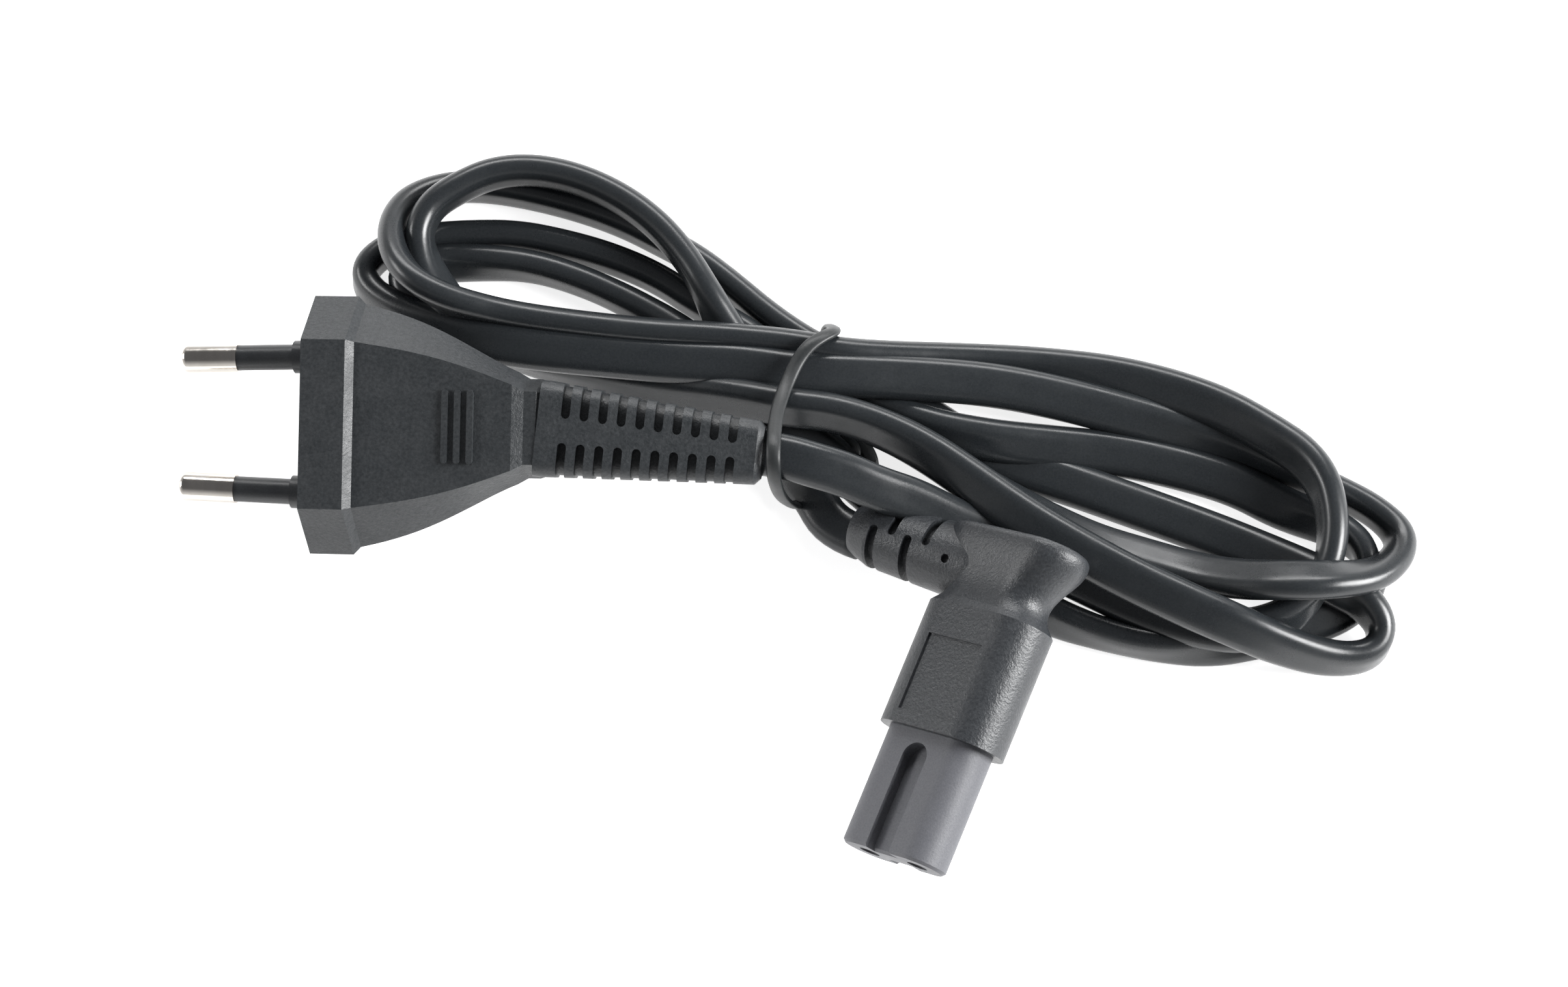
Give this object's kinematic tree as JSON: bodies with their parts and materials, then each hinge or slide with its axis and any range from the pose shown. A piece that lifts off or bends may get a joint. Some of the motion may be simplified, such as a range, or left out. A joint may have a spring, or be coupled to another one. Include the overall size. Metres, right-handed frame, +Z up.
{
  "type": "figure-8 mains lead",
  "caption": "Black mains lead: flat two-pin plug with ribbed strain relief, flat cord folded and held by a twist tie, and a right-angled figure-8 connector.",
  "frame": {"origin": "centre of the base of the box round the plug and the connector, on the table they lie on", "axes": "+Z up from the table; +X along the plug from its pins to its cord; +Y completes the frame"},
  "size_m": [0.1688, 0.1066, 0.024],
  "materials": {
    "moulding": "fine-grained black",
    "insert": "smooth hard black",
    "sheath": "satin black",
    "tie": "coated wire",
    "nickel": "nickel plate",
    "spring_metal": "bright",
    "sleeve": "smooth black",
    "live_core": "brown",
    "neutral_core": "blue",
    "copper": "bright copper"
  },
  "bodies": {
    "root": {"plug_body": "moulding", "connector_body": "moulding", "connector_insert": "insert", "plug_pin_carrier": "insert", "plug_cord_end": "sheath", "cord_plug_lead": "sheath", "cord_hank": "sheath", "cord_connector_lead": "sheath", "connector_cord_end": "sheath", "cord_tie": "tie", "plug_pin_live": "nickel", "plug_pin_neutral": "nickel", "connector_contact_live": "spring_metal", "connector_contact_neutral": "spring_metal", "plug_sleeve_live": "sleeve", "plug_sleeve_neutral": "sleeve", "plug_core_live": "live_core", "connector_core_live": "live_core", "plug_core_neutral": "neutral_core", "connector_core_neutral": "neutral_core", "plug_strands_live": "copper", "plug_strands_neutral": "copper", "connector_strands_live": "copper", "connector_strands_neutral": "copper"}
  },
  "joints": []
}
